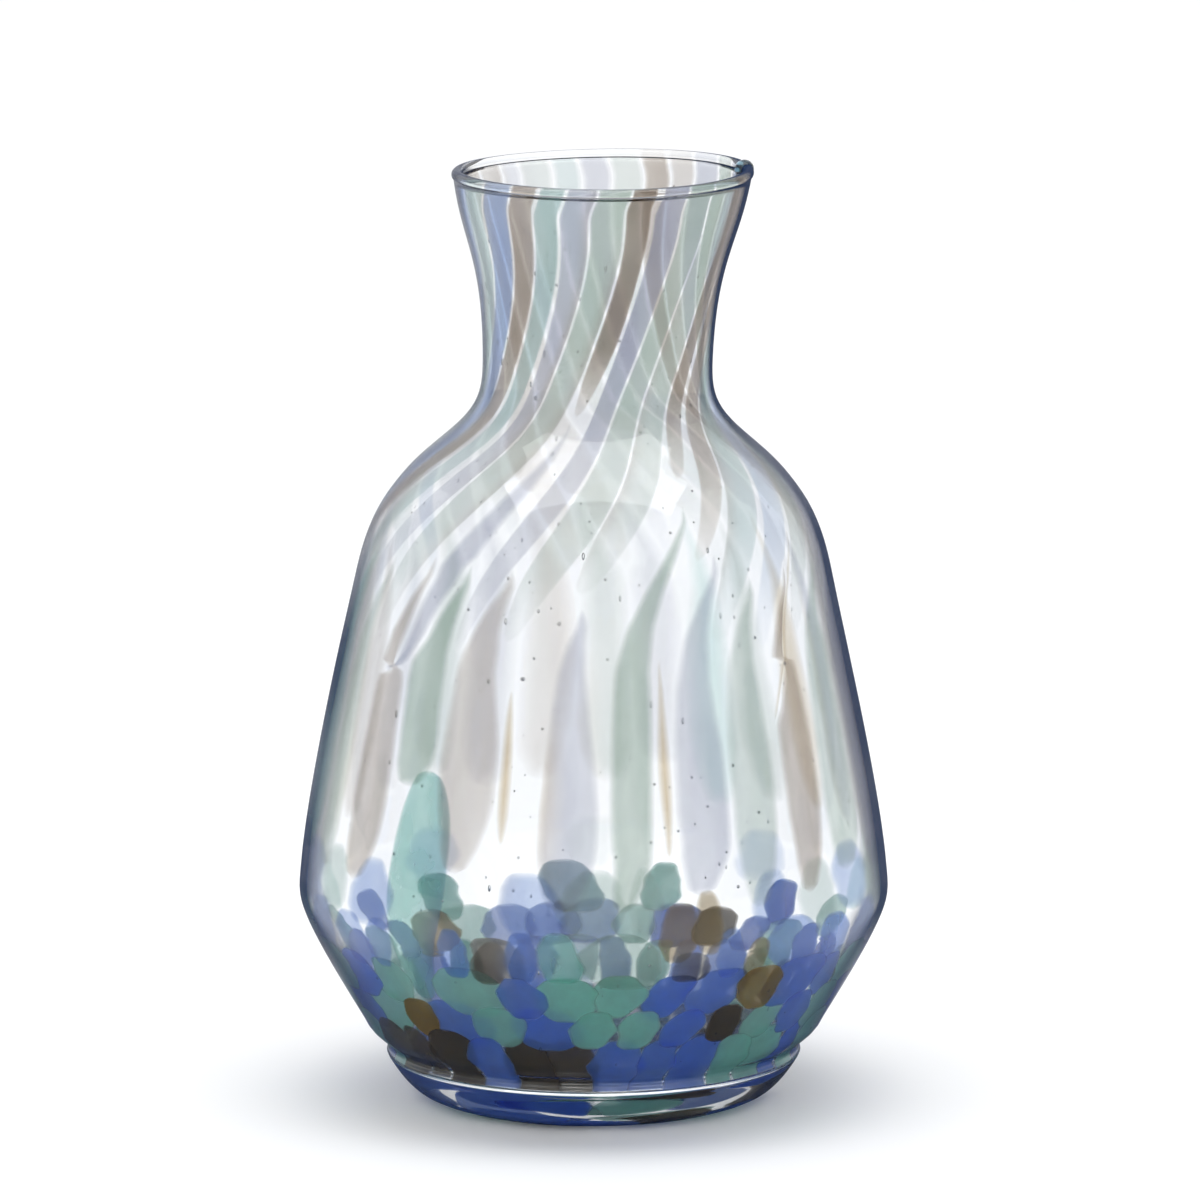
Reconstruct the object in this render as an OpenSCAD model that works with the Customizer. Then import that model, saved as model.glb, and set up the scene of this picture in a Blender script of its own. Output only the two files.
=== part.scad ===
// Hand blown glass vase. A thin clear lining is cased in a thicker clear layer with a heavy
// foot, and chips of coloured glass lie in the layer between the two. The foot stands on
// z = 0, the axis of the vase is +Z and +X is to the right of a viewer at -Y.

/* [Body] */
// Height of the vase, from the table to the top of the lip
total_h = 200; // [190:1:210]
// Radius of the flat that the vase stands on
foot_flat_r = 33.3; // [31:0.1:35]
// Radius at the top of the rounded heel
heel_r = 43.2; // [41:0.1:45]
// Height of the rounded heel
heel_h = 8; // [7:0.1:9]
// Radius at the belt, where the vase is widest
belt_r = 62.5; // [60:0.1:65]
// Height of the belt
belt_h = 44.5; // [42:0.1:47]
// Radius where the side starts to turn in to the shoulder
shoulder_r = 50.6; // [49:0.1:52]
// Height where the side starts to turn in to the shoulder
shoulder_h = 112; // [108:0.5:116]
// Radius at the throat, the narrowest part of the neck
throat_r = 24.2; // [23:0.1:26]
// Height of the throat
throat_h = 155; // [152:0.5:158]
// Radius at the outside of the lip
lip_r = 31.7; // [30:0.1:33]

/* [Glass] */
// Thickness of the clear outer casing
casing_t = 0.8; // [0.7:0.05:1]
// Thickness of the layer that holds the coloured chips
colour_t = 0.6; // [0.6:0.05:0.8]
// Thickness of the clear inner lining
lining_t = 0.5; // [0.4:0.05:0.7]
// Height of the inside floor above the table
floor_h = 12.5; // [11:0.1:14]
// Radius of the corner between the inside floor and the wall
corner_r = 5; // [4:0.5:7]
// Radius of the fire polished roll round the lip
lip_roll_r = 1; // [0.95:0.05:1.2]
// Radius of the bead of glass left on the lip
bead_r = 2.1; // [1.8:0.1:2.4]
// Place of the bead round the lip, from +X
bead_angle = 8; // [0:1:20]

/* [Chips] */
// Turn of the chips round the axis between the side and the lip
twist = 62; // [40:1:80]
// Height where the twist starts
twist_from_h = 100; // [90:1:110]
// Height where the twist ends
twist_to_h = 190; // [180:1:195]
// Clearance between a chip and the clear glass on either side
seat_gap = 0.12; // [0.1:0.01:0.15]
// Which of the repeatable random patterns is used
pattern = 7; // [1:1:50]

/* [Hidden] */
$fn = 180;

FRONT = -90;
lip_base_h = total_h - 1.6 * lip_roll_r;
lining_depth = casing_t + colour_t;
wall_t = lining_depth + lining_t;

// A cubic curve in n steps from a to d, with handles at b and c.
function curve(a, b, c, d, n) = [
    for (i = [0 : n]) let (t = i / n, u = 1 - t)
        u * u * u * a + 3 * u * u * t * b + 3 * u * t * t * c + t * t * t * d
];
function rest(points) = [for (i = [1 : len(points) - 1]) points[i]];
function reversed(points) = [for (i = [len(points) - 1 : -1 : 0]) points[i]];

// The outside of the vase, as [radius, height] points from the foot up to the lip.
heel_curve = curve([foot_flat_r, 0], [foot_flat_r + 4, 0], [heel_r - 2, heel_h - 3.4],
    [heel_r, heel_h], 6);
taper_curve = curve([heel_r, heel_h], [heel_r + 5.9, heel_h + 9.7], [belt_r, belt_h - 5.7],
    [belt_r, belt_h], 12);
side_curve = curve([belt_r, belt_h], [belt_r, belt_h + 16.4], [shoulder_r + 0.5, shoulder_h - 3.1],
    [shoulder_r, shoulder_h], 14);
shoulder_curve = curve([shoulder_r, shoulder_h], [shoulder_r - 5.3, shoulder_h + 31.4],
    [throat_r, throat_h - 15.5], [throat_r, throat_h], 18);
neck_curve = curve([throat_r, throat_h], [throat_r, throat_h + 28], [lip_r - 1.7, total_h - 16.7],
    [lip_r, total_h], 14);
outline = concat(heel_curve, rest(taper_curve), rest(side_curve), rest(shoulder_curve),
    rest(neck_curve));
radius_table = [for (p = outline) [p.y, p.x]];
function radius_at(h) = lookup(h, radius_table);
function heights(low, high) = concat(
    low,
    [for (p = outline) if (p.y > low + 0.2 && p.y < high - 0.2) p.y],
    high
);

// Thickness across the wall turned into thickness along the radius at a height.
function slope_at(h) = (radius_at(h + 0.5) - radius_at(h - 0.5));
function inset_radius(h, depth) = radius_at(h) - depth * sqrt(1 + pow(slope_at(h), 2));

// The inside of the layer at a depth below the outside: a flat floor, a round corner and
// the wall up to the underside of the lip roll.
function layer(depth) =
    let (
        floor = floor_h - (wall_t - depth),
        r1 = inset_radius(floor, depth),
        lean = atan((inset_radius(floor + corner_r, depth) - r1) / corner_r),
        join_h = floor + corner_r * (1 - sin(lean)),
        centre_r = inset_radius(join_h, depth) - corner_r * cos(lean)
    )
    concat(
        [[0, floor]],
        [for (i = [0 : 7]) let (a = -90 + (90 - lean) * i / 8)
            [centre_r + corner_r * cos(a), floor + corner_r + corner_r * sin(a)]],
        [for (h = heights(join_h, lip_base_h)) [inset_radius(h, depth), h]]
    );

// ---- Clear glass ----

// Where the foot ends and the blown wall starts, level with the top of the floor's corner.
foot_top_h = floor_h + 2;

// Thick clear foot under the inside floor.
module foot_pad() {
    color("#cfe0ee", 0.5)
        rotate_extrude()
            polygon(concat(
                [[0, 0]],
                [for (h = heights(0, foot_top_h)) [radius_at(h), h]],
                [[inset_radius(foot_top_h, casing_t), foot_top_h]],
                reversed([for (p = layer(casing_t)) if (p.y < foot_top_h - 0.2) p])
            ));
}

// Clear outer casing between two heights.
module casing_band(low, high) {
    color("#dfe6ee", 0.4)
        rotate_extrude()
            polygon(concat(
                [for (h = heights(low, high)) [radius_at(h), h]],
                reversed([for (h = heights(low, high)) [inset_radius(h, casing_t), h]])
            ));
}

module taper_casing() { casing_band(foot_top_h, belt_h); }
module side_casing() { casing_band(belt_h, shoulder_h); }
module shoulder_casing() { casing_band(shoulder_h, throat_h); }
module neck_casing() { casing_band(throat_h, lip_base_h); }

// Thin clear lining, closed at the bottom, that forms the inside of the vase.
module inner_lining() {
    color("#e6ebf0", 0.4)
        rotate_extrude()
            polygon(concat(layer(lining_depth), reversed(layer(wall_t))));
}

module lip_section() {
    intersection() {
        translate([lip_r - lip_roll_r, total_h - lip_roll_r])
            circle(lip_roll_r, $fn = 48);
        translate([0, lip_base_h])
            square([lip_r + 1, total_h - lip_base_h]);
    }
}

// Fire polished roll that closes the top of the casing and the lining.
module lip_roll() {
    color("#b9d3da", 0.6)
        rotate_extrude()
            lip_section();
}

// Bead of blue-green glass left on the lip.
module lip_bead() {
    color("#3f8f9c", 0.8)
        difference() {
            rotate([0, 0, bead_angle])
                translate([lip_r - 0.2, 0, total_h - 1.3])
                    sphere(bead_r, $fn = 48);
            rotate_extrude()
                lip_section();
            rotate_extrude()
                polygon([
                    [0, lip_base_h - 8],
                    [radius_at(lip_base_h - 8), lip_base_h - 8],
                    [radius_at(lip_base_h), lip_base_h],
                    [0, lip_base_h]
                ]);
        }
}

// ---- Chips of coloured glass ----

// The chips lie on the outside of the lining, at a distance measured along it: up the wall
// from the table's level, or negative from the floor's corner towards the axis.
seat = layer(lining_depth - seat_gap);
seat_corner = 4;
function lengths(points, i = 0, sum = 0) = i == len(points) ? [] :
    concat(sum, lengths(points, i + 1, i + 1 < len(points) ? sum + norm(points[i + 1] - points[i]) : 0));
seat_lengths = lengths(seat);
seat_r = [for (i = [0 : len(seat) - 1]) [seat_lengths[i], seat[i].x]];
seat_h = [for (i = [0 : len(seat) - 1]) [seat_lengths[i], seat[i].y]];
length_at_h = [for (i = [seat_corner : len(seat) - 1]) [seat[i].y, seat_lengths[i]]];
function seat_point(s) = [lookup(s, seat_r), lookup(s, seat_h)];
function seat_out(s) = let (d = seat_point(s + 0.4) - seat_point(s - 0.4)) [d.y, -d.x] / norm(d);

// Each row of chips goes once round the vase towards +X, and each large chip stands on its own:
// [zone, colours in turn, bottom, top, stations, height of the widest place as a share,
//  point of the top, share of the row that the chips fill, scatter in height,
//  place of the first chip, as a share of the way to the second]
// [zone, colour, bottom, top, stations, height of the widest place as a share,
//  point of the top, half width in degrees, angle from the front]
// Bottom and top are heights on the wall, except on the floor, where they are distances
// from the axis. The colour letters are c cobalt, m mint, p pale blue, o ochre, u umber,
// g celadon, l lilac, s sand, a amber and t teal. A dot leaves room for a large chip.
ZONE = 0;
COLOURS = 1;
BOTTOM = 2;
TOP = 3;
STATIONS = 4;
WIDEST = 5;
POINT = 6;
FILL = 7;
SCATTER = 8;
FIRST = 9;
HALF_WIDTH = 7;
ANGLE = 8;
rows = [
    ["floor", "cumcc", 5, 19, 4, 0.5, 0.4, 0.8, 1, 0],
    ["floor", "cmcucmcccmu", 20.5, 35.5, 4, 0.5, 0.4, 0.84, 0.4, 0.5],
    ["foot", "cccmmcmccmcumccmcpcumcmccmcmuuucuu", 14, 20.8, 3, 0.5, 0.4, 0.9, 0.3, 0.5],
    ["foot", "mmcumcmcumccmcucmcccmocmcmcmcmocmc", 21, 28.2, 3, 0.5, 0.4, 0.9, 0.4, 0],
    ["foot", "mccoccmcc.m.c..m.p..m.c.mcumcm.mcm", 28.4, 36.4, 4, 0.5, 0.4, 0.9, 0.5, 0.5],
    ["belt", "g..cccgcm..c..g..c..mcmcc...m", 36.8, 46.4, 4, 0.46, 0.42, 0.88, 0.6, 0.5],
    ["belt", "g..cgcgcm............mccgc..c", 46.6, 58.6, 5, 0.44, 0.5, 0.86, 1.2, 0],
    ["body", ".lgsglgslagmlgslglsglmgs....", 62, 119, 8, 0.3, 0.8, 0.88, 3.5, 0.83],
    ["streak", "..tpglsugltglsuglptputlg.lg.", 104, 195, 22, 0.4, 0.5, 0.84, 2, 0.33]
];
large_chips = [
    ["belt", "m", 30.5, 78, 10, 0.56, 0.4, 4.7, -38],
    ["belt", "c", 37, 46.2, 4, 0.5, 0.42, 3.6, -28.8],
    ["belt", "c", 37, 46.2, 4, 0.5, 0.42, 3.7, -46.7],
    ["belt", "u", 36.9, 43.5, 3, 0.5, 0.42, 2.6, -20.8],
    ["belt", "c", 37, 46.3, 4, 0.5, 0.42, 3.2, -14.4],
    ["belt", "c", 37, 46.2, 4, 0.5, 0.42, 3, 28.6],
    ["belt", "o", 37, 43, 3, 0.5, 0.42, 2, 34.6],
    ["belt", "u", 37, 41.4, 3, 0.5, 0.42, 4, 19.8],
    ["belt", "o", 41.9, 52, 4, 0.5, 0.42, 3, 17.2],
    ["belt", "o", 43, 54.5, 5, 0.5, 0.42, 2.6, 23.4],
    ["belt", "g", 47, 60, 5, 0.4, 0.6, 2.7, 10.2],
    ["body", "g", 81, 119, 8, 0.3, 0.8, 4.8, -40.7],
    ["body", "s", 66, 119, 9, 0.35, 0.8, 6, -27.6],
    ["body", "a", 74, 94, 6, 0.5, 0.6, 1.5, -18.8],
    ["body", "l", 59, 112, 9, 0.35, 0.8, 6, -5.5],
    ["body", "g", 60.5, 132, 12, 0.3, 0.8, 4.9, 8.5],
    ["body", "a", 70, 101, 8, 0.45, 0.7, 1.4, 15.3],
    ["body", "a", 100, 124, 8, 0.45, 0.7, 1.2, 49.3],
    ["body", "l", 106, 147, 12, 0.35, 0.8, 4.6, -47.1],
    ["streak", "g", 116, 195, 20, 0.4, 0.5, 5.6, -9],
    ["streak", "u", 150, 196, 12, 0.4, 0.6, 2.6, -47.1],
    ["streak", "u", 138, 196, 14, 0.4, 0.6, 3.2, 4.3],
    ["streak", "u", 122, 196, 18, 0.4, 0.6, 4.4, 17.1]
];

function turn_at(h) = let (u = min(1, max(0, (h - twist_from_h) / (twist_to_h - twist_from_h))))
    twist * u * u * (3 - 2 * u);

// A point at a distance along the seat, lifted off it towards the outside.
function chip_point(angle, s, lift) =
    let (p = seat_point(s) + lift * seat_out(s), a = angle + turn_at(p.y))
    [p.x * cos(a), p.x * sin(a), p.y];

// Half width of a chip at the share t of its length: round below the widest place, and
// as pointed above it as the row says.
function chip_outline(t, widest, point) = t < widest
    ? pow(1 - pow((widest - t) / widest, 2), 0.42)
    : pow(1 - pow((t - widest) / (1 - widest), 2), point);

// One chip's points: its bottom tip, four points at each station, and its top tip.
function chip_points(row, angle, low, high, half_angle) =
    let (n = row[STATIONS], crown = colour_t - 2 * seat_gap)
    concat(
        [chip_point(angle, low, 0)],
        [for (i = [1 : n]) let (
            t = (1 - cos(180 * i / (n + 1))) / 2,
            s = low + (high - low) * t,
            w = half_angle * chip_outline(t, row[WIDEST], row[POINT])
        ) each [
            chip_point(angle - w, s, 0),
            chip_point(angle, s, crown),
            chip_point(angle + w, s, 0),
            chip_point(angle, s, 0)
        ]],
        [chip_point(angle, high, 0)]
    );

// One chip's triangles, for a chip whose points start at the index first.
function chip_faces(n, first) =
    let (top = first + 4 * n - 3)
    concat(
        [for (k = [0 : 3]) [first, first + 1 + (k + 1) % 4, first + 1 + k]],
        [for (i = [0 : n - 2], k = [0 : 3]) let (
            a = first + 1 + 4 * i + k,
            b = first + 1 + 4 * i + (k + 1) % 4
        ) each [[a, b, a + 4], [b, b + 4, a + 4]]],
        [for (k = [0 : 3]) [top + k, top + (k + 1) % 4, top + 4]]
    );

// One large chip, as [row, angle, bottom, top, half angle].
function large_chip(c) = [
    c,
    FRONT + c[ANGLE],
    lookup(c[BOTTOM], length_at_h),
    lookup(c[TOP], length_at_h),
    c[HALF_WIDTH]
];

// Every chip of one colour in one row, as [row, angle, bottom, top, half angle].
function chips_in_row(k, colour) =
    let (
        row = rows[k],
        n = len(row[COLOURS]),
        pitch = 360 / n,
        on_floor = row[ZONE] == "floor",
        low = on_floor ? row[BOTTOM] : lookup(row[BOTTOM], length_at_h),
        high = on_floor ? row[TOP] : lookup(row[TOP], length_at_h),
        shift = rands(-1, 1, 3 * n, pattern + 100 * k)
    )
    [for (i = [0 : n - 1]) if (row[COLOURS][i] == colour) [
        row,
        FRONT + pitch * (i + row[FIRST] + 0.05 * shift[i]),
        low + row[SCATTER] * shift[n + i],
        high + row[SCATTER] * shift[n + i],
        pitch * row[FILL] * (0.47 + 0.03 * shift[2 * n + i])
    ]];

// Index of each chip's first point, after the points of the chips before it.
function firsts(chips, i = 0, first = 0) = i == len(chips) ? [] :
    concat(first, firsts(chips, i + 1, first + 4 * chips[i][0][STATIONS] + 2));

module chips(zone, colour) {
    found = concat(
        [for (k = [0 : len(rows) - 1]) if (rows[k][ZONE] == zone) each chips_in_row(k, colour)],
        [for (c = large_chips) if (c[ZONE] == zone && c[COLOURS] == colour) large_chip(c)]
    );
    starts = firsts(found);
    polyhedron(
        [for (c = found) each chip_points(c[0], c[1], c[2], c[3], c[4])],
        [for (i = [0 : len(found) - 1]) each chip_faces(found[i][0][STATIONS], starts[i])]
    );
}

module floor_cobalt() { color("#4a6cc0") chips("floor", "c"); }
module floor_mint() { color("#79b39b") chips("floor", "m"); }
module floor_umber() { color("#41362b") chips("floor", "u"); }
module foot_cobalt() { color("#4a6cc0") chips("foot", "c"); }
module foot_mint() { color("#79b39b") chips("foot", "m"); }
module foot_pale_blue() { color("#8fb4cf") chips("foot", "p"); }
module foot_ochre() { color("#7d6430") chips("foot", "o"); }
module foot_umber() { color("#41362b") chips("foot", "u"); }
module belt_cobalt() { color("#5c79bd") chips("belt", "c"); }
module belt_mint() { color("#86b5a4") chips("belt", "m"); }
module belt_celadon() { color("#a5c0b6") chips("belt", "g"); }
module belt_ochre() { color("#7d6b3a") chips("belt", "o"); }
module belt_umber() { color("#5f5849") chips("belt", "u"); }
module body_mint() { color("#8fb3a8", 0.8) chips("body", "m"); }
module body_celadon() { color("#b9c8c0", 0.8) chips("body", "g"); }
module body_lilac() { color("#bcc3d6", 0.8) chips("body", "l"); }
module body_sand() { color("#cfc8bd", 0.8) chips("body", "s"); }
module body_amber() { color("#cbb88a", 0.8) chips("body", "a"); }
module streak_celadon() { color("#b3c4be", 0.8) chips("streak", "g"); }
module streak_lilac() { color("#9fb0cf", 0.8) chips("streak", "l"); }
module streak_teal() { color("#93b3b5", 0.8) chips("streak", "t"); }
module streak_umber() { color("#8d7b68", 0.8) chips("streak", "u"); }
module streak_pale_blue() { color("#97b1d3", 0.8) chips("streak", "p"); }
module streak_sand() { color("#c9c0b2", 0.8) chips("streak", "s"); }

foot_pad();
taper_casing();
side_casing();
shoulder_casing();
neck_casing();
inner_lining();
lip_roll();
lip_bead();
floor_cobalt();
floor_mint();
floor_umber();
foot_cobalt();
foot_mint();
foot_pale_blue();
foot_ochre();
foot_umber();
belt_cobalt();
belt_mint();
belt_celadon();
belt_ochre();
belt_umber();
body_mint();
body_celadon();
body_lilac();
body_sand();
body_amber();
streak_celadon();
streak_lilac();
streak_teal();
streak_umber();
streak_pale_blue();
streak_sand();
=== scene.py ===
"""Looks of the hand blown glass vase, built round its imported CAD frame."""

import math
import random

import bmesh
import bpy
import numpy as np
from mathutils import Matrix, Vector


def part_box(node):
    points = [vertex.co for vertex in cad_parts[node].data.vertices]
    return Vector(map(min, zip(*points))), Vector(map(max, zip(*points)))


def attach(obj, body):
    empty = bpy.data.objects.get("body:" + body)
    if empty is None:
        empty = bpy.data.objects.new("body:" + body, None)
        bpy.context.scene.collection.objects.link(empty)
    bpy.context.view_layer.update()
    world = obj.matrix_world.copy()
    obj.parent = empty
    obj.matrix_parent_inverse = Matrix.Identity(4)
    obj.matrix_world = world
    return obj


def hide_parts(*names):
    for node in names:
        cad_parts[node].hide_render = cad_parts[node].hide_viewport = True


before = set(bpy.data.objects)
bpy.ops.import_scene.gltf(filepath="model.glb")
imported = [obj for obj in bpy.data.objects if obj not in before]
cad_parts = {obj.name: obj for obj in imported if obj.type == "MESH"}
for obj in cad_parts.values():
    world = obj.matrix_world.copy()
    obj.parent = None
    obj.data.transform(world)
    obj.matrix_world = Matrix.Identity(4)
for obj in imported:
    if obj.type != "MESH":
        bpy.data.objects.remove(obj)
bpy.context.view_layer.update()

MM = 0.001
TOTAL_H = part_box("lip_roll")[1].z
WALL_T = 1.9 * MM
LINING_T = 0.5 * MM
FLOOR_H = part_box("inner_lining")[0].z + LINING_T
TURNS = 192  # points round each lathed ring
INTO_LIP = 1.2 * MM  # how far streaks run on from the top of the wall into the lip
LOWEST_CHIP = 0.6 * FLOOR_H
TABLE_STEP = 0.1 * MM  # between the heights in the tables of the outside

WALL_NODES = ["foot_pad", "taper_casing", "side_casing", "shoulder_casing", "neck_casing"]
CHIP_ZONES = ["floor", "foot", "belt", "body", "streak"]
CHIP_COLOURS = "cobalt mint pale_blue ochre umber celadon lilac sand amber teal".split()


# ---- Shapes read from the frame ----


def rings(nodes):
    """The points of lathed CAD nodes as sorted (height, radius) pairs."""
    points = [v.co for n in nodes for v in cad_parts[n].data.vertices]
    return sorted({(round(p.z, 6), round(math.hypot(p.x, p.y), 6)) for p in points})


def smooth_line(xs, ys, x):
    """A smooth curve through the points (xs, ys), read at x."""
    slopes = np.gradient(ys, xs)
    i = np.clip(np.searchsorted(xs, x) - 1, 0, len(xs) - 2)
    step = xs[i + 1] - xs[i]
    t = np.clip((x - xs[i]) / step, 0, 1)
    ends = (2 * t**3 - 3 * t**2 + 1) * ys[i] + (3 * t**2 - 2 * t**3) * ys[i + 1]
    bends = (t**3 - 2 * t**2 + t) * slopes[i] + (t**3 - t**2) * slopes[i + 1]
    return ends + bends * step


def blurred(radii, spread):
    """The radii smoothed over a number of steps of the table, with both ends kept in place."""
    reach = np.arange(-4 * spread, 4 * spread + 1)
    weights = np.exp(-((reach / spread) ** 2) / 2)
    padded = np.pad(radii, 4 * spread, mode="reflect", reflect_type="odd")
    return np.convolve(padded, weights / weights.sum(), mode="valid")


def outside_tables():
    """Radius and slope of the vase's outside at closely spaced heights, without the CAD's facets."""
    widest = {}
    for h, r in rings(WALL_NODES):
        widest[h] = max(r, widest.get(h, 0))
    heights = np.array(sorted(widest))
    close = np.arange(0, heights[-1] + INTO_LIP, TABLE_STEP)
    radii = smooth_line(heights, np.array([widest[h] for h in heights]), close)
    flare = (radii[-30] - radii[-50]) / 20
    beyond = np.arange(len(close)) - np.searchsorted(close, heights[-1] - TABLE_STEP)
    radii = np.where(beyond > 0, radii[-beyond.max() - 1] + flare * beyond, radii)
    fine, broad = blurred(radii, 9), blurred(radii, 28)
    share = np.clip((close - 60 * MM) / (20 * MM), 0, 1)
    radii = fine + (broad - fine) * share
    return close, radii, np.gradient(radii, close), heights[-1]


TABLE_H, TABLE_R, TABLE_SLOPE, TOP_H = outside_tables()
THROAT_H = TABLE_H[np.argmin(np.where(TABLE_H > TOTAL_H / 2, TABLE_R, 1))]


def outer_radius(h):
    return np.interp(h, TABLE_H, TABLE_R)


def outward(h):
    """The outside's normal at a height, as its radial and upward parts."""
    slope = np.interp(h, TABLE_H, TABLE_SLOPE)
    length = np.hypot(1, slope)
    return 1 / length, -slope / length


def hand_blown(points):
    """The faults of a hand made piece: a neck that leans, a wavy lip, a body not quite round."""
    x, y, z = points[..., 0], points[..., 1], points[..., 2]
    angle = np.arctan2(y, x)
    squash = 1 + 0.0035 * np.cos(2 * angle - 0.6 + 9 * z) + 0.002 * np.cos(3 * angle + 14 * z)
    up = np.clip((z / TOTAL_H - 0.45) / 0.55, 0, None)
    near_lip = np.clip((z - THROAT_H) / (TOTAL_H - THROAT_H), 0, None) ** 3
    rise = 0.3 * np.sin(angle + 2.2) + 0.22 * np.sin(2 * angle + 0.8) - 0.5
    return np.stack([x * squash + 2.1 * MM * up**1.6, y * squash, z + rise * MM * near_lip], axis=-1)


def on_wall(h, angle, depth):
    """Points at a depth below the outside of the wall."""
    h = np.clip(h, LOWEST_CHIP, TABLE_H[-1])
    n_r, n_z = outward(h)
    r = outer_radius(h) - depth * n_r
    return hand_blown(np.stack([r * np.cos(angle), r * np.sin(angle), h - depth * n_z], axis=-1))


def on_floor(radius, angle, depth):
    """Points in the glass under the inside floor, in the layer that lies at a depth in the wall."""
    h = np.full_like(radius, FLOOR_H - WALL_T + depth)
    return hand_blown(np.stack([radius * np.cos(angle), radius * np.sin(angle), h], axis=-1))


# ---- Objects ----


def mesh_object(name, points, faces, **values):
    """A smooth object from its points and faces, with a named value at each point."""
    mesh = bpy.data.meshes.new(name)
    mesh.from_pydata(points, [], faces)
    for key, numbers in values.items():
        mesh.attributes.new(key, "FLOAT", "POINT").data.foreach_set("value", numbers)
    mesh.shade_smooth()
    obj = bpy.data.objects.new(name, mesh)
    bpy.context.scene.collection.objects.link(obj)
    return obj


def bmesh_object(name, bm):
    points = [tuple(v.co) for v in bm.verts]
    faces = [[v.index for v in f.verts] for f in bm.faces]
    bm.free()
    return mesh_object(name, points, faces)


def piece(obj, slot_name, material, *nodes):
    """Gives an object its material and its place in the frame."""
    obj.data.materials.append(material)
    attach(obj, "root")
    if nodes:
        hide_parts(*nodes)


# ---- Clear glass ----

LIP_R = 1.22 * MM
# How strong the painted shade along the clear glass's outline is, by height in mm.
OUTLINE_SHADE_HEIGHTS = (0, 12, 22, 45, 60, 115, 140, 175, 200)
OUTLINE_SHADE_AMOUNTS = (0.36, 0.42, 0.6, 0.88, 0.98, 0.93, 0.68, 0.84, 0.84)
MOST_OUTLINE_SHADE = 0.95


def inside_outline():
    """The inside of the vase as (radius, height) points, from the axis of the floor up to the lip."""
    low = [(h, r) for h, r in rings(["inner_lining"]) if h < 0.08 * TOTAL_H]
    corner = [(r, h) for h, r in low if not any(h2 > h and r2 < r for h2, r2 in low)]
    floor = [(r, FLOOR_H) for r in np.linspace(0.02, 0.96, 12) * corner[0][0]]
    heights = np.linspace(corner[-1][1], TOP_H, 130)[1:]
    return floor + corner + [(outer_radius(h) - WALL_T / outward(h)[0], h) for h in heights]


def outside_outline():
    """The outside as (radius, height) points, from the axis of the foot up to the lip."""
    foot = [(r, 0.0) for r in np.linspace(0.02, 0.96, 10) * TABLE_R[0]]
    heights = np.concatenate([np.linspace(0, 12 * MM, 16), np.linspace(13.5 * MM, TOP_H, 140)])
    return foot + [(outer_radius(h), h) for h in heights]


def lip_outline(outer_end, inner_end):
    """The round, fire polished roll over the lip, from the outside to the inside."""
    middle_r = (inner_end[0] + outer_end[0]) / 2 + 0.1 * MM
    points = []
    for turn in np.radians(np.linspace(-34, 214, 22)):
        points.append((middle_r + LIP_R * math.cos(turn), TOTAL_H - LIP_R + LIP_R * math.sin(turn)))
    return points


def painted_outline_shade(points):
    """How strong the painted shade along the glass's outline is at each point, made uneven by waves.
    """
    height = points[:, 2] / MM
    side = points[:, 0] / np.maximum(np.hypot(points[:, 0], points[:, 1]), 1 * MM)
    lopsided = side * np.interp(height, (60, 150), (0.02, 0.25))
    uneven = 1 + lopsided + 0.09 * np.sin(height / 9 + 3 * side)
    return np.clip(np.interp(height, OUTLINE_SHADE_HEIGHTS, OUTLINE_SHADE_AMOUNTS) * uneven, 0, MOST_OUTLINE_SHADE)


def make_wall(material):
    """One closed shell of clear glass: heavy foot, wall and lip."""
    inside, outside = inside_outline(), outside_outline()
    outline = np.array(outside + lip_outline(outside[-1], inside[-1]) + inside[::-1])
    angles = np.arange(TURNS) * 2 * math.pi / TURNS
    r, h = outline[:, :1], np.repeat(outline[:, 1:], TURNS, axis=1)
    points = hand_blown(np.stack([r * np.cos(angles), r * np.sin(angles), h], axis=-1))
    points = points.reshape(-1, 3)
    ends = hand_blown(np.array([[0, 0, outline[0][1]], [0, 0, outline[-1][1]]]))
    index = np.arange(len(points)).reshape(-1, TURNS)
    turned = np.roll(index, -1, axis=1)
    quads = np.stack([index[:-1], turned[:-1], turned[1:], index[1:]], axis=-1).reshape(-1, 4)
    under, floor = len(points), len(points) + 1
    caps = [(under, b, a) for a, b in zip(index[0], turned[0])]
    caps += [(a, b, floor) for a, b in zip(index[-1], turned[-1])]
    points = np.vstack([points, ends])
    faces = quads.tolist() + caps
    # The attribute edge carries the strength of the painted shade along the glass's outline.
    obj = mesh_object("clear_wall", points.tolist(), faces, edge=painted_outline_shade(points))
    piece(obj, "clear_glass", material, *WALL_NODES, "inner_lining", "lip_roll")


# ---- Chips of coloured glass ----

CHIP_T = 0.03 * MM
HIGH_BELT = 45 * MM  # the belt's chips are softer and paler above this
LONG_BELT_CHIP = 30 * MM
SHORT_BELT_CHIP = 15 * MM
LONG_BELT_SIZE = 1.15
BODY_DRIPS = (2, 9)  # how far the body's chips run down, in mm
FOOT_DRIP = 2.8 * MM  # how far the foot's lowest chips run down over the heel
CLEAR_LINE = 0.4 * MM  # clear glass left between two chips that share the wall
DEPTH_SLOTS = 16
DEPTH_STEP = 0.065  # in mm, between the depths of neighbouring chips, so that none share a plane

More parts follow.
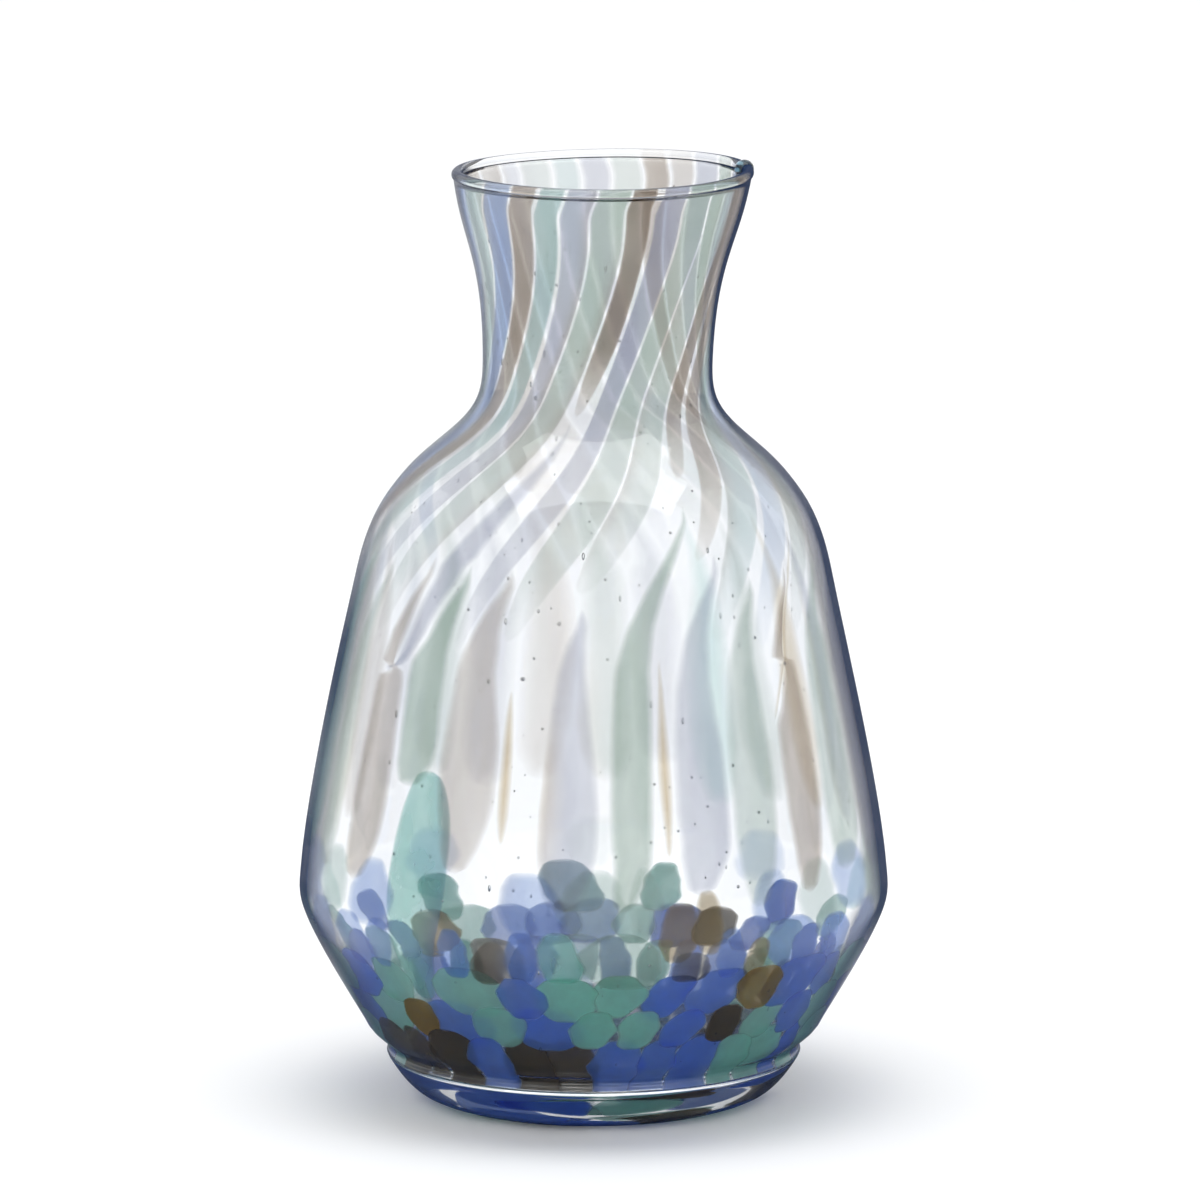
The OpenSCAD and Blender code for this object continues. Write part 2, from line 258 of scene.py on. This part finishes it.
# How each zone's chips melt out past their CAD outline: share they grow across, length they grow
# by at each end, roughness of the outline, how much they lean, share by which sizes vary, width
# of the soft rim, how faint they are at the back, points across and along, and whether neighbours
# push against each other.
SHAPES = {
    "floor": dict(
        across=1.4,
        along=1.6 * MM,
        rough=0.2,
        lean=0.3,
        vary=0.15,
        soft=0.8 * MM,
        faint=0.0,
        grid=(12, 14),
        share=False,
    ),
    "foot": dict(
        across=1.5,
        along=1.6 * MM,
        rough=0.2,
        lean=0.7,
        vary=0.3,
        soft=0.9 * MM,
        faint=0.15,
        grid=(16, 20),
        share=False,
    ),
    "belt": dict(
        across=1.26,
        along=1.6 * MM,
        rough=0.18,
        lean=0.5,
        vary=0.25,
        soft=1.0 * MM,
        faint=0.75,
        grid=(16, 30),
        share=False,
    ),
    "body": dict(
        across=1.26,
        along=3.5 * MM,
        rough=0.16,
        lean=0.2,
        vary=0.14,
        soft=1.9 * MM,
        faint=0.5,
        grid=(24, 64),
        share=True,
    ),
    "streak": dict(
        across=1.6,
        along=0.0,
        rough=0.16,
        lean=0.0,
        vary=0.34,
        soft=0.6 * MM,
        faint=0.5,
        grid=(20, 110),
        share=True,
    ),
}
SLIM = {"umber": 1.2, "amber": 0.85}  # growth of some colours that share the wall, against the others
WARM_SHARE = {"streak": 0.75}  # share of the chips with one warm edge
USUAL_WARM_SHARE = 0.4


def islands(node):
    """The separate chips of a CAD node, each as an array of its points."""
    bm = bmesh.new()
    bm.from_mesh(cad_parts[node].data)
    bmesh.ops.remove_doubles(bm, verts=bm.verts, dist=1e-6)
    seen, found = set(), []
    for start in bm.verts:
        if start in seen:
            continue
        seen.add(start)
        stack, points = [start], []
        while stack:
            v = stack.pop()
            points.append(tuple(v.co))
            for other in (e.other_vert(v) for e in v.link_edges):
                if other not in seen:
                    seen.add(other)
                    stack.append(other)
        found.append(np.array(points))
    bm.free()
    return found


def wrapped(angle):
    return (angle + math.pi) % (2 * math.pi) - math.pi


def chip_axis(points, flat):
    """A CAD chip's stations: place along the wall or across the floor, middle angle, half angle."""
    along = np.hypot(points[:, 0], points[:, 1]) if flat else points[:, 2]
    middle = math.atan2(points[:, 1].mean(), points[:, 0].mean())
    angles = wrapped(np.arctan2(points[:, 1], points[:, 0]) - middle)
    order = np.argsort(along)
    along, angles = along[order], angles[order]
    stations = [(along[0], angles[0], 0.0)]
    for k in range(1, len(along) - 1, 4):
        low, high = angles[k : k + 4].min(), angles[k : k + 4].max()
        stations.append((along[k : k + 4].mean(), (low + high) / 2, (high - low) / 2))
    stations.append((along[-1], angles[-1], 0.0))
    places, centres, halves = np.array(stations).T
    return places, centres + middle, halves


def wobble(rng, waves):
    """A smooth random curve over t from 0 to 1, between about -1 and 1."""
    parts = [(rng.uniform(0.6, 1) / k, k, rng.uniform(0, 2 * math.pi)) for k in range(1, waves + 1)]
    total = sum(p[0] for p in parts)
    return lambda t: sum(size * np.sin(math.pi * k * t + phase) for size, k, phase in parts) / total


def narrowing(s):
    """How far the wall has drawn in from the shoulder, 0, to the neck, 1."""
    return np.clip((s / TOTAL_H - 0.56) / 0.26, 0, 1)


def grown_chip(node, points, rng):
    """One chip, melted out past its CAD outline: its places, middles and half angles."""
    zone, colour = node.split("_", 1)
    shape = SHAPES[zone]
    places, centres, halves = chip_axis(points, zone == "floor")
    t = np.linspace(0, 1, 90)
    size = 1 + rng.uniform(-shape["vary"], shape["vary"])
    length = places[-1] - places[0]
    if zone == "belt" and length > LONG_BELT_CHIP:
        size = LONG_BELT_SIZE
    s = places[0] + length * t + (2 * t - 1) * shape["along"] * size
    half = np.sqrt(np.interp(t, (places - places[0]) / length, halves**2))
    if zone == "streak":
        s = places[0] + t * (TABLE_H[-1] - places[0])
        half = np.maximum.accumulate(half) * (0.6 + 0.4 * narrowing(s))
    if zone == "body":
        s = s - rng.uniform(*BODY_DRIPS) * MM * (1 - t)
    if zone == "foot" and places[0] < FLOOR_H + 3 * MM:
        s = s - FOOT_DRIP * (1 - t)
        half = np.where(t < 0.5, np.maximum(half, 0.85 * half.max()), half)
    half = half * shape["across"] * size * (1 + shape["rough"] * wobble(rng, 5)(t))
    if shape["share"]:
        half = half * SLIM.get(colour, 1)
    lean = (centres[-2] - centres[1]) / (places[-2] - places[1])
    beyond = s - np.clip(s, places[1], places[-2])
    middle = np.interp(s, places[1:-1], centres[1:-1]) + lean * beyond
    bend = shape["rough"] * wobble(rng, 3)(t)
    tilt = shape["lean"] * rng.uniform(-1, 1) * (t - 0.5)
    middle = middle + halves.max() * (bend + tilt)
    behind = ((1 + math.sin(middle.mean())) / 2) ** 1.5
    high = 0
    if zone == "belt" and length < SHORT_BELT_CHIP:
        high = np.clip((s.mean() - HIGH_BELT) / (8 * MM), 0, 1)
    density = rng.uniform(0.62, 1) * (1 - shape["faint"] * behind) * (1 - 0.35 * high)
    gap = CLEAR_LINE * (0.1 + 1.9 * (0.5 + 0.5 * wobble(rng, 4)(t)) ** 2)
    return dict(
        node=node,
        zone=zone,
        s=s,
        middle=middle,
        left=half,
        right=half,
        half=half,
        rng=rng,
        depth=WALL_T / 2,
        behind=behind,
        density=density,
        soft=shape["soft"] * (1 + 3 * shape["faint"] * behind + 1.5 * high),
        gap=gap * (0.5 if zone == "streak" else 1),
    )


def share_wall(chips):
    """Lets neighbours meet along a thin clear line instead of lying over each other."""
    for a in chips:
        line = a["gap"] / 2 / outer_radius(a["s"])
        for b in chips:
            if a is b or b["s"][0] > a["s"][-1] or b["s"][-1] < a["s"][0]:
                continue
            other = np.interp(a["s"], b["s"], b["half"], left=0, right=0)
            away = wrapped(np.interp(a["s"], b["s"], b["middle"]) - a["middle"])
            meet = np.abs(away) * a["half"] / np.maximum(a["half"] + other, 1e-9) - line
            limited = np.maximum(meet, 0)
            for edge, faces_it in (("right", away > 0), ("left", away <= 0)):
                pushed = np.minimum(a[edge], limited)
                a[edge] = np.where((other > 0) & faces_it, pushed, a[edge])


def trimmed(chip):
    """The part of a chip, round its widest place, that its neighbours leave over."""
    width = chip["left"] + chip["right"]
    low = high = int(np.argmax(width))
    while low > 0 and width[low - 1] > 0:
        low -= 1
    while high < len(width) - 1 and width[high + 1] > 0:
        high += 1
    return {key: chip[key][low : high + 1] for key in ("s", "middle", "left", "right")}


def sheet_faces(index, low_tip, high_tip, flip):
    """Faces over a grid of point numbers, closed with fans to a tip at each end."""
    corners = [index[:-1, :-1], index[:-1, 1:], index[1:, 1:], index[1:, :-1]]
    faces = np.stack(corners, axis=-1).reshape(-1, 4).tolist()
    faces += [(b, a, low_tip) for a, b in zip(index[0], index[0][1:])]
    faces += [(a, b, high_tip) for a, b in zip(index[-1], index[-1][1:])]
    return [tuple(f)[::-1] for f in faces] if flip else faces


def chip_lens(chip):
    """Points, faces, thickness and warmth of one thin closed lens of coloured glass."""
    shape, rng = SHAPES[chip["zone"]], chip["rng"]
    flat = chip["zone"] == "floor"
    across, along = shape["grid"]
    part = trimmed(chip)
    t = (1 - np.cos(math.pi * np.arange(along + 1) / along)) / 2
    s = part["s"][0] + t * (part["s"][-1] - part["s"][0])
    middle, left, right = (np.interp(s, part["s"], part[key]) for key in ("middle", "left", "right"))
    to_top = s[-1] - s if chip["zone"] != "streak" else np.full_like(s, 1)
    ends = np.sqrt(np.clip(np.minimum(s - s[0], to_top) / (0.02 * (s[-1] - s[0])), 0, 1))
    left, right = left * ends, right * ends
    u = -np.cos(math.pi * np.arange(across + 1) / across)
    side = np.where(u < 0, left[:, None], right[:, None])
    angle = middle[:, None] + side * u
    s_grid = np.repeat(s[:, None], across + 1, axis=1)
    radius = s_grid if flat else outer_radius(s_grid)
    to_side = (1 - np.abs(u)) * side * radius
    to_end = np.minimum(s - s[0], to_top)[:, None]
    rim = np.clip(np.minimum(to_side, to_end) / chip["soft"], 0, 1)
    thick = (1 - (1 - rim) ** (1.5 if shape["share"] else 2.2)) * chip["density"]
    if chip["zone"] == "streak":
        fading = np.clip((s - s[0]) / (14 * MM), 0, 1)
        lip = 1 - chip["behind"] * np.clip((s - TOP_H) / MM + 1, 0, 1)
        thick = thick * ((0.35 + 0.65 * narrowing(s)) * (0.25 + 0.75 * fading) * lip)[:, None]
    edge = rng.choice([-1, 1])
    warm = np.clip(edge * u, 0, 1) ** 1.5 * np.clip(0.2 + wobble(rng, 3)(t), 0, 1)[:, None]
    is_warm = rng.random() < WARM_SHARE.get(chip["zone"], USUAL_WARM_SHARE)
    warm = warm * (rng.uniform(0.5, 1) if is_warm else 0)
    bulge = CHIP_T / 2 * np.sqrt((1 - u**2) * (1 - (2 * t[:, None] - 1) ** 2))
    place = on_floor if flat else on_wall
    front = place(s_grid, angle, chip["depth"] - bulge)
    back = place(s_grid, angle, chip["depth"] + bulge)
    inner = (slice(1, -1), slice(1, -1))
    tips = [front[0][:1], front[-1][:1]]
    points = np.vstack([*tips, front[1:-1].reshape(-1, 3), back[inner].reshape(-1, 3)])
    count = (along - 1) * (across + 1)
    front_index = 2 + np.arange(count).reshape(along - 1, across + 1)
    back_index = front_index.copy()
    inner_count = (along - 1) * (across - 1)
    back_index[:, 1:-1] = 2 + count + np.arange(inner_count).reshape(along - 1, across - 1)
    faces = sheet_faces(front_index, 0, 1, False) + sheet_faces(back_index, 0, 1, True)
    values = [np.concatenate([[0, 0], v[1:-1].ravel(), v[inner].ravel()]) for v in (thick, warm)]
    return points, faces, *values


def make_chips(node, chips, material):
    """All the chips of one CAD node as one object."""
    points, faces, thick, warm, count = [], [], [], [], 0
    for chip in chips:
        lens = chip_lens(chip)
        points.append(lens[0])
        faces += [tuple(i + count for i in f) for f in lens[1]]
        thick.append(lens[2])
        warm.append(lens[3])
        count += len(lens[0])
    values = dict(thick=np.concatenate(thick), warm=np.concatenate(warm))
    obj = mesh_object(f"{node}_chips", np.vstack(points).tolist(), faces, **values)
    piece(obj, node.split("_", 1)[1] + "_glass", material, node)


# ---- Bead, bubbles and specks ----

BEAD_SHIFT = 1.3 * MM  # towards the axis, so that the bead sits in the lip


def make_bead(material):
    """The blob of blue-green glass on the lip, drawn out a little down the neck."""
    low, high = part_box("lip_bead")
    radius = (high.z - low.z) / 2
    bm = bmesh.new()
    bmesh.ops.create_uvsphere(bm, u_segments=32, v_segments=24, radius=radius)
    for v in bm.verts:
        down = max(0.0, -v.co.z / radius)
        v.co.x *= 1 - 0.25 * down
        v.co.z *= 1 + 0.35 * down
        v.co += (low + high) / 2
        v.co.x -= BEAD_SHIFT
        v.co = hand_blown(np.array(v.co))
    bm.verts.index_update()
    piece(bmesh_object("lip_bead_glass", bm), "bead_glass", material, "lip_bead")


def make_seeds(name, count, sizes, stretches, material, seed):
    """Small bubbles or specks scattered through the clear glass of the wall."""
    rng = random.Random(seed)
    bm = bmesh.new()
    for _ in range(count):
        h = rng.uniform(0.07, 0.96) * TOTAL_H
        centre = on_wall(h, rng.uniform(0, 2 * math.pi), rng.uniform(0.3, 0.75) * MM)
        size = rng.uniform(*sizes)
        stretch = rng.choice(stretches)
        for v in bmesh.ops.create_icosphere(bm, subdivisions=2, radius=size)["verts"]:
            v.co.z *= stretch
            v.co.x += centre[0]
            v.co.y += centre[1]
            v.co.z += centre[2]
    bm.verts.index_update()
    piece(bmesh_object(name, bm), "clear_glass", material)


# ---- Materials ----


def new_tree(name):
    mat = bpy.data.materials.new(name)
    mat.use_nodes = True
    mat.node_tree.nodes.clear()
    return mat, mat.node_tree


def add(tree, kind, inputs=(), **settings):
    """A shader node with its settings, and constants on the sockets named or numbered in inputs."""
    node = tree.nodes.new(kind)
    for key, value in settings.items():
        setattr(node, key, value)
    for key, value in dict(inputs).items():
        node.inputs[key].default_value = value
    return node


def linear(rgb):
    """Linear colour from display values of 0 to 255."""
    return (*(((c / 255 + 0.055) / 1.055) ** 2.4 for c in rgb), 1)


# Painted shade on the clear glass: Layer Weight's facing mixes in a dark diffuse colour towards the
# outline, standing in for dark surroundings seen in the glass.
OUTLINE_SHADE_START = 0.61  # Layer Weight's facing where clear glass starts to darken towards its outline
OUTLINE_SHADE_FULL = 0.8  # and where it is darkest
# Colour of the painted shade on the glass's outline and of the painted shadow card under the foot.
PAINTED_SHADE_NAVY = (0.016, 0.03, 0.075, 1)


def glass(name, rgb, ior=1.5, ripple=0.0, absorb=None, edge=None):
    """Smooth clear glass, which may have ripples, colour inside it and a painted shade along its
    outline: a dark diffuse colour mixed in where the surface turns edge on.
    """
    mat, tree = new_tree(name)
    shader = add(
        tree,
        "ShaderNodeBsdfPrincipled",
        {"Base Color": linear(rgb), "Roughness": 0.0, "IOR": ior, "Transmission Weight": 1.0},
    )
    out = add(tree, "ShaderNodeOutputMaterial")
    surface = shader
    if edge:
        facing = add(tree, "ShaderNodeLayerWeight", {"Blend": 0.5})
        settings = {1: OUTLINE_SHADE_START, 2: OUTLINE_SHADE_FULL}
        ramp = add(tree, "ShaderNodeMapRange", settings, interpolation_type="SMOOTHSTEP")
        strength = add(tree, "ShaderNodeAttribute", attribute_name="edge")
        amount = add(tree, "ShaderNodeMath", operation="MULTIPLY")
        # Painted shade: the dark diffuse colour mixed in towards the outline.
        dark = add(tree, "ShaderNodeBsdfDiffuse", {"Color": edge})
        surface = add(tree, "ShaderNodeMixShader")
        tree.links.new(facing.outputs["Facing"], ramp.inputs[0])
        tree.links.new(ramp.outputs[0], amount.inputs[0])
        tree.links.new(strength.outputs["Fac"], amount.inputs[1])
        tree.links.new(amount.outputs[0], surface.inputs[0])
        tree.links.new(shader.outputs[0], surface.inputs[1])
        tree.links.new(dark.outputs[0], surface.inputs[2])
    tree.links.new(surface.outputs[0], out.inputs["Surface"])
    if ripple:
        coords = add(tree, "ShaderNodeTexCoord")
        noise = add(tree, "ShaderNodeTexNoise", {"Scale": 24.0, "Detail": 2.0})
        bump = add(tree, "ShaderNodeBump", {"Strength": 1.0, "Distance": ripple})
        tree.links.new(coords.outputs["Object"], noise.inputs["Vector"])
        tree.links.new(noise.outputs["Fac"], bump.inputs["Height"])
        tree.links.new(bump.outputs["Normal"], shader.inputs["Normal"])
    if absorb:
        colour, density = absorb
        settings = {"Color": linear(colour), "Density": density}
        volume = add(tree, "ShaderNodeVolumeAbsorption", settings)
        tree.links.new(volume.outputs[0], out.inputs["Volume"])
    return mat


def opal(name, deep, pale, edge_tint, cover, stain_share, stretch):
    """Opalescent glass: milky and coloured where it is thick, clear and paler towards its rim."""
    mat, tree = new_tree(name)
    link = tree.links.new
    coords = add(tree, "ShaderNodeTexCoord")
    squeeze = add(tree, "ShaderNodeMapping", {"Scale": (1, 1, 1 / stretch)})
    cloud = add(tree, "ShaderNodeTexNoise", {"Scale": 150.0, "Detail": 3.0, "Roughness": 0.55})
    spread = add(tree, "ShaderNodeMapRange", {1: 0.3, 2: 0.7, 3: 0.78, 4: 1.0})
    thick = add(tree, "ShaderNodeAttribute", attribute_name="thick")
    warm = add(tree, "ShaderNodeAttribute", attribute_name="warm")
    density = add(tree, "ShaderNodeMath", operation="MULTIPLY")
    tint = add(tree, "ShaderNodeMix", {6: linear(pale), 7: linear(deep)}, data_type="RGBA")
    warmed = add(tree, "ShaderNodeMix", {7: linear(edge_tint)}, data_type="RGBA")
    amount = add(tree, "ShaderNodeMath", {1: cover}, operation="MULTIPLY")
    stain = add(tree, "ShaderNodeMix", {6: (1, 1, 1, 1)}, data_type="RGBA")
    stain_by = add(tree, "ShaderNodeMath", {1: stain_share}, operation="MULTIPLY")
    diffuse = add(tree, "ShaderNodeBsdfDiffuse")
    through = add(tree, "ShaderNodeBsdfTranslucent")
    clear = add(tree, "ShaderNodeBsdfTransparent")
    milk = add(tree, "ShaderNodeMixShader", {0: 0.55})
    whole = add(tree, "ShaderNodeMixShader")
    out = add(tree, "ShaderNodeOutputMaterial")
    link(coords.outputs["Object"], squeeze.inputs["Vector"])
    link(squeeze.outputs[0], cloud.inputs["Vector"])
    link(cloud.outputs["Fac"], spread.inputs["Value"])
    link(spread.outputs[0], density.inputs[0])
    link(thick.outputs["Fac"], density.inputs[1])
    link(density.outputs[0], tint.inputs[0])
    link(warm.outputs["Fac"], warmed.inputs[0])
    link(tint.outputs[2], warmed.inputs[6])
    link(density.outputs[0], amount.inputs[0])
    link(density.outputs[0], stain_by.inputs[0])
    link(stain_by.outputs[0], stain.inputs[0])
    link(warmed.outputs[2], stain.inputs[7])
    link(stain.outputs[2], clear.inputs["Color"])
    link(warmed.outputs[2], diffuse.inputs["Color"])
    link(warmed.outputs[2], through.inputs["Color"])
    link(diffuse.outputs[0], milk.inputs[1])
    link(through.outputs[0], milk.inputs[2])
    link(amount.outputs[0], whole.inputs[0])
    link(clear.outputs[0], whole.inputs[1])
    link(milk.outputs[0], whole.inputs[2])
    link(whole.outputs[0], out.inputs["Surface"])
    return mat


# Colours of the chips where they are thick and at their thin rims.
COLOURS = {
    "cobalt": ((116, 166, 255), (180, 210, 252)),
    "mint": ((182, 242, 232), (216, 247, 240)),
    "pale_blue": ((172, 222, 240), (205, 232, 243)),
    "ochre": ((176, 142, 50), (215, 195, 130)),
    "umber": ((98, 88, 70), (165, 146, 118)),
    "celadon": ((198, 218, 204), (232, 238, 233)),
    "lilac": ((200, 204, 222), (232, 233, 240)),
    "sand": ((216, 203, 190), (238, 232, 225)),
    "amber": ((234, 204, 142), (240, 228, 200)),
    "teal": ((172, 210, 206), (215, 233, 232)),
}
ZONE_COLOURS = {
    "belt_celadon": ((196, 226, 216), (225, 240, 234)),
    "belt_cobalt": ((134, 184, 255), (192, 218, 252)),
    "streak_umber": ((146, 120, 88), (200, 176, 144)),
    "streak_pale_blue": ((150, 185, 235), (205, 222, 243)),
}
EDGE_TINTS = {"body": (226, 192, 130), "streak": (165, 142, 115), "belt": (140, 165, 215)}
COVERS = {"floor": 0.9, "foot": 0.97, "belt": 0.37, "body": 0.23, "streak": 0.28}
STAINS = {"floor": 0.5, "foot": 0.5, "belt": 0.45, "body": 0.5, "streak": 0.5}
STRETCHES = {"floor": 1.0, "foot": 1.2, "belt": 1.8, "body": 6.0, "streak": 8.0}


# ---- Stage, light and camera ----

CAMERA_PLACE = (0.00145, -2.421, 0.558)
CAMERA_PITCH = 10.555  # degrees below level
FOCAL_SHARE = 9.665  # focal length over the width of the picture
SENSOR_W = 36
FLOOR_HALF = 6
FLOOR_DROP = 0.2 * MM  # keeps the floor clear of the foot's underside
CARD_DROP = 0.1 * MM
CARD_POINTS = 48
# The painted shadow under the foot: its darkness at shares of the foot's radius.
PAINTED_SHADOW_UNDER_FOOT = [(0.01, 0.93), (0.9, 0.93), (1.3, 0.85), (2.4, 0.7), (3.2, 0.0)]


def make_stage():
    """A plain pale floor."""
    corners = [(x * FLOOR_HALF, y * FLOOR_HALF, 0) for x, y in ((-1, -1), (1, -1), (1, 1), (-1, 1))]
    obj = mesh_object("floor", corners, [(0, 1, 2, 3)])
    obj.location.z = -FLOOR_DROP
    mat, tree = new_tree("pale_floor")
    shader = add(
        tree,
        "ShaderNodeBsdfPrincipled",
        {"Base Color": (0.93, 0.93, 0.93, 1), "Roughness": 0.9, "Specular IOR Level": 0.1},
    )
    out = add(tree, "ShaderNodeOutputMaterial")
    tree.links.new(shader.outputs[0], out.inputs["Surface"])
    obj.data.materials.append(mat)


def make_painted_shadow_card():
    """A round dark card under the foot with a soft edge, seen only in the vase's glass: a painted
    shadow of the foot.
    """
    points, dark = [], []
    for share, amount in PAINTED_SHADOW_UNDER_FOOT:
        r = share * TABLE_R[0]
        for a in np.arange(CARD_POINTS) * 2 * math.pi / CARD_POINTS:
            points.append((r * math.cos(a), r * math.sin(a), -CARD_DROP))
            dark.append(amount)
    ring = np.arange(len(points)).reshape(-1, CARD_POINTS)
    turned = np.roll(ring, -1, axis=1)
    corners = [ring[:-1], turned[:-1], turned[1:], ring[1:]]
    faces = np.stack(corners, axis=-1).reshape(-1, 4).tolist()
    obj = mesh_object("foot_shadow_card", points, faces, dark=dark)
    mat, tree = new_tree("painted_shadow_black")
    amount = add(tree, "ShaderNodeAttribute", attribute_name="dark")
    clear = add(tree, "ShaderNodeBsdfTransparent")
    black = add(tree, "ShaderNodeBsdfDiffuse", {"Color": PAINTED_SHADE_NAVY})
    mix = add(tree, "ShaderNodeMixShader")
    out = add(tree, "ShaderNodeOutputMaterial")
    tree.links.new(amount.outputs["Fac"], mix.inputs[0])
    tree.links.new(clear.outputs[0], mix.inputs[1])
    tree.links.new(black.outputs[0], mix.inputs[2])
    tree.links.new(mix.outputs[0], out.inputs["Surface"])
    obj.data.materials.append(mat)
    for kind in ("camera", "diffuse", "shadow"):
        setattr(obj, f"visible_{kind}", False)


def make_world():
    """A white studio, a little darker and bluer at its sides."""
    world = bpy.data.worlds.new("studio")
    world.use_nodes = True
    bpy.context.scene.world = world
    tree = world.node_tree
    tree.nodes.clear()
    link = tree.links.new
    coords = add(tree, "ShaderNodeTexCoord")
    parts = add(tree, "ShaderNodeSeparateXYZ")
    side = add(tree, "ShaderNodeMath", operation="ABSOLUTE")
    dark = add(tree, "ShaderNodeMapRange", {1: 0.62, 2: 0.9}, interpolation_type="SMOOTHSTEP")
    colours = {6: (1, 1, 1, 1), 7: (0.4, 0.45, 0.55, 1)}
    mix = add(tree, "ShaderNodeMix", colours, data_type="RGBA")
    background = add(tree, "ShaderNodeBackground", {"Strength": 1.15})
    out = add(tree, "ShaderNodeOutputWorld")
    link(coords.outputs["Generated"], parts.inputs[0])
    link(parts.outputs["X"], side.inputs[0])
    link(side.outputs[0], dark.inputs["Value"])
    link(dark.outputs[0], mix.inputs[0])
    link(mix.outputs[2], background.inputs["Color"])
    link(background.outputs[0], out.inputs["Surface"])


def make_softbox():
    """A wide softbox straight over the vase, which lies as a soft sheen on its shoulder."""
    light = bpy.data.lights.new("softbox", "AREA")
    light.shape = "RECTANGLE"
    light.size = 1.3
    light.size_y = 0.5
    light.energy = 4.5
    obj = bpy.data.objects.new("softbox", light)
    obj.location = (0, -0.1, 1.2)
    bpy.context.scene.collection.objects.link(obj)


def make_camera():
    camera = bpy.data.cameras.new("camera")
    camera.sensor_width = SENSOR_W
    camera.lens = SENSOR_W * FOCAL_SHARE
    camera.clip_end = 20
    obj = bpy.data.objects.new("camera", camera)
    obj.location = CAMERA_PLACE
    obj.rotation_euler = (math.radians(90 - CAMERA_PITCH), 0, 0)
    bpy.context.scene.collection.objects.link(obj)
    bpy.context.scene.camera = obj


# ---- The whole vase ----


def make_vase():
    """Every piece of the vase, chips first."""
    names = [f"{zone}_{colour}" for zone in CHIP_ZONES for colour in CHIP_COLOURS]
    chip_nodes = [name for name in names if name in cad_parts]
    chips = []
    for number, node in enumerate(chip_nodes):
        for k, points in enumerate(islands(node)):
            chips.append(grown_chip(node, points, random.Random(100 * number + k)))
    share_wall([c for c in chips if SHAPES[c["zone"]]["share"]])
    crowded = [c for c in chips if not SHAPES[c["zone"]]["share"]]
    for k, chip in enumerate(sorted(crowded, key=lambda c: wrapped(c["middle"].mean()))):
        chip["depth"] = (0.5 + DEPTH_STEP * (k * 7 % DEPTH_SLOTS)) * MM
    for node in chip_nodes:
        zone, colour = node.split("_", 1)
        colours = ZONE_COLOURS.get(node, COLOURS[colour])
        edge_tint = EDGE_TINTS.get(zone, colours[1])
        looks = (COVERS[zone], STAINS[zone], STRETCHES[zone])
        material = opal(f"{node}_opal", *colours, edge_tint, *looks)
        make_chips(node, [c for c in chips if c["node"] == node], material)
    tint = ((212, 222, 230), 3.0)
    # The clear glass carries a painted shade, in navy, along its outline.
    clear = glass("clear_glass", (248, 249, 250), ripple=0.06 * MM, absorb=tint, edge=PAINTED_SHADE_NAVY)
    make_wall(clear)
    make_bead(glass("bead_glass", (190, 225, 235), absorb=((90, 160, 185), 250.0)))
    air = glass("bubble_air", (255, 255, 255), ior=0.667)
    make_seeds("seed_bubbles", 380, (0.1 * MM, 0.36 * MM), [1, 1, 1, 1.5, 2.4], air, seed=5)
    dark = glass("speck_glass", (50, 50, 60))
    make_seeds("dark_specks", 60, (0.08 * MM, 0.2 * MM), [1, 1.3], dark, seed=8)


make_camera()
make_world()
make_softbox()
make_stage()
# A painted shadow under the foot, seen only through the glass.
make_painted_shadow_card()
bpy.context.scene.view_settings.view_transform = "Standard"
make_vase()
